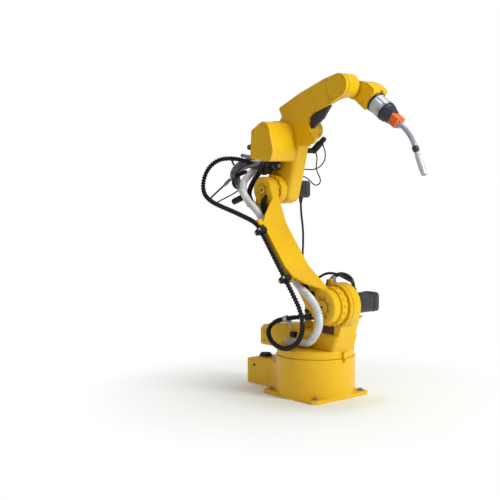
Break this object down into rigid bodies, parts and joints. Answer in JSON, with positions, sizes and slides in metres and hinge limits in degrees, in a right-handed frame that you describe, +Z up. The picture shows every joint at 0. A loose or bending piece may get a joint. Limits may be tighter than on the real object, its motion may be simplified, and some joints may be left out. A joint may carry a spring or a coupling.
{
  "type": "industrial robot arm",
  "caption": "Floor-mounted jointed welding robot arm: turret on a round base, leaning lower arm with a hose duct, bent forearm, offset wrist and a gooseneck torch.",
  "frame": {"origin": "on the floor, on the axis about which the turret turns, at the centre of the base's bolt pattern", "axes": "+Z up along the turret's turning axis; +X to the robot's front, where the forearm and torch point; +Y to its left, the motors' side"},
  "size_m": [1.0119, 0.413, 1.2852],
  "materials": {
    "yellow_paint": "semi-gloss yellow enamel on cast metal",
    "motor_black": "satin black paint",
    "plug_black": "moulded black plastic",
    "plug_grey": "moulded light grey plastic and plated steel",
    "black_hose": "ribbed black conduit",
    "silver_hose": "ribbed silver-grey conduit",
    "machined_steel": "machined and blackened",
    "torch_aluminium": "machined",
    "collar_navy": "dark navy moulded plastic",
    "clamp_orange": "orange moulded plastic",
    "neck_metal": "polished tube",
    "copper_tip": "bare copper alloy"
  },
  "bodies": {
    "base": {"base_casting": "yellow_paint", "base_cable_socket": "plug_black", "base_zero_mark": "yellow_paint"},
    "turret": {"turret_casting": "yellow_paint", "turret_zero_mark": "yellow_paint", "turret_rear_housing": "yellow_paint", "rear_plug_black": "plug_black", "rear_plug_grey": "plug_grey", "rear_hose_clamp": "plug_grey", "turret_hose_socket": "plug_black", "shoulder_motor": "motor_black"},
    "lower_arm": {"lower_arm_casting": "yellow_paint", "shoulder_reducer_ring": "yellow_paint", "elbow_reducer_ring": "yellow_paint", "arm_hose_clamp_upper": "plug_black", "arm_hose_clamp_lower": "plug_black", "arm_hose_lug": "yellow_paint", "arm_cable_clip": "plug_black", "black_hose_arm": "black_hose", "silver_hose_arm": "silver_hose", "black_hose_lower": "black_hose", "silver_hose_lower": "silver_hose", "shoulder_motor_cable": "black_hose"},
    "upper_arm": {"forearm_casting": "yellow_paint", "elbow_side_block": "yellow_paint", "elbow_motor": "motor_black", "cable_entry_cover": "motor_black", "roll_drive_housing": "yellow_paint", "roll_drive_cap": "yellow_paint", "roll_drive_connector": "plug_black", "roll_drive_wires": "black_hose", "elbow_plug_black": "plug_black", "elbow_plug_grey": "plug_grey", "black_hose_upper": "black_hose", "silver_hose_upper": "silver_hose", "elbow_motor_cable": "black_hose", "black_hose_inner": "black_hose"},
    "wrist_roll": {"wrist_roll_housing": "yellow_paint", "wrist_side_cover": "yellow_paint"},
    "wrist_bend": {"wrist_bend_block": "yellow_paint"},
    "torch": {"tool_flange": "machined_steel", "torch_mount": "torch_aluminium", "torch_collar": "collar_navy", "torch_clamp": "clamp_orange", "torch_neck": "neck_metal", "torch_insulator": "collar_navy", "torch_nozzle": "torch_aluminium", "contact_tip": "copper_tip"}
  },
  "joints": [
    {"name": "turret_turn", "type": "hinge", "parent": "base", "child": "turret", "pos_m": [0, 0, 0.1658], "axis": [0, 0, 1], "range_deg": [-170, 170]},
    {"name": "shoulder_swing", "type": "hinge", "parent": "turret", "child": "lower_arm", "pos_m": [0.15, -0.063, 0.38], "axis": [0, 1, 0], "range_deg": [-22, 128], "deforming": ["black_hose_lower", "silver_hose_lower", "shoulder_motor_cable"]},
    {"name": "elbow_swing", "type": "hinge", "parent": "lower_arm", "child": "upper_arm", "pos_m": [-0.20093, -0.0607, 0.82917], "axis": [0, -1, 0], "range_deg": [-65, 100], "deforming": ["black_hose_upper", "silver_hose_upper", "elbow_motor_cable", "black_hose_inner"]},
    {"name": "wrist_roll_turn", "type": "hinge", "parent": "upper_arm", "child": "wrist_roll", "pos_m": [0.08345, 0.009, 1.21898], "axis": [0.9455, 0, 0.3256], "range_deg": [-150, 150]},
    {"name": "wrist_bend_swing", "type": "hinge", "parent": "wrist_roll", "child": "wrist_bend", "pos_m": [0.14207, 0.047, 1.23917], "axis": [0, -1, 0], "range_deg": [-55, 165]},
    {"name": "tool_turn", "type": "hinge", "parent": "wrist_bend", "child": "torch", "pos_m": [0.23009, 0.094, 1.17521], "axis": [0.809, 0, -0.5878], "range_deg": [-180, 180]}
  ]
}
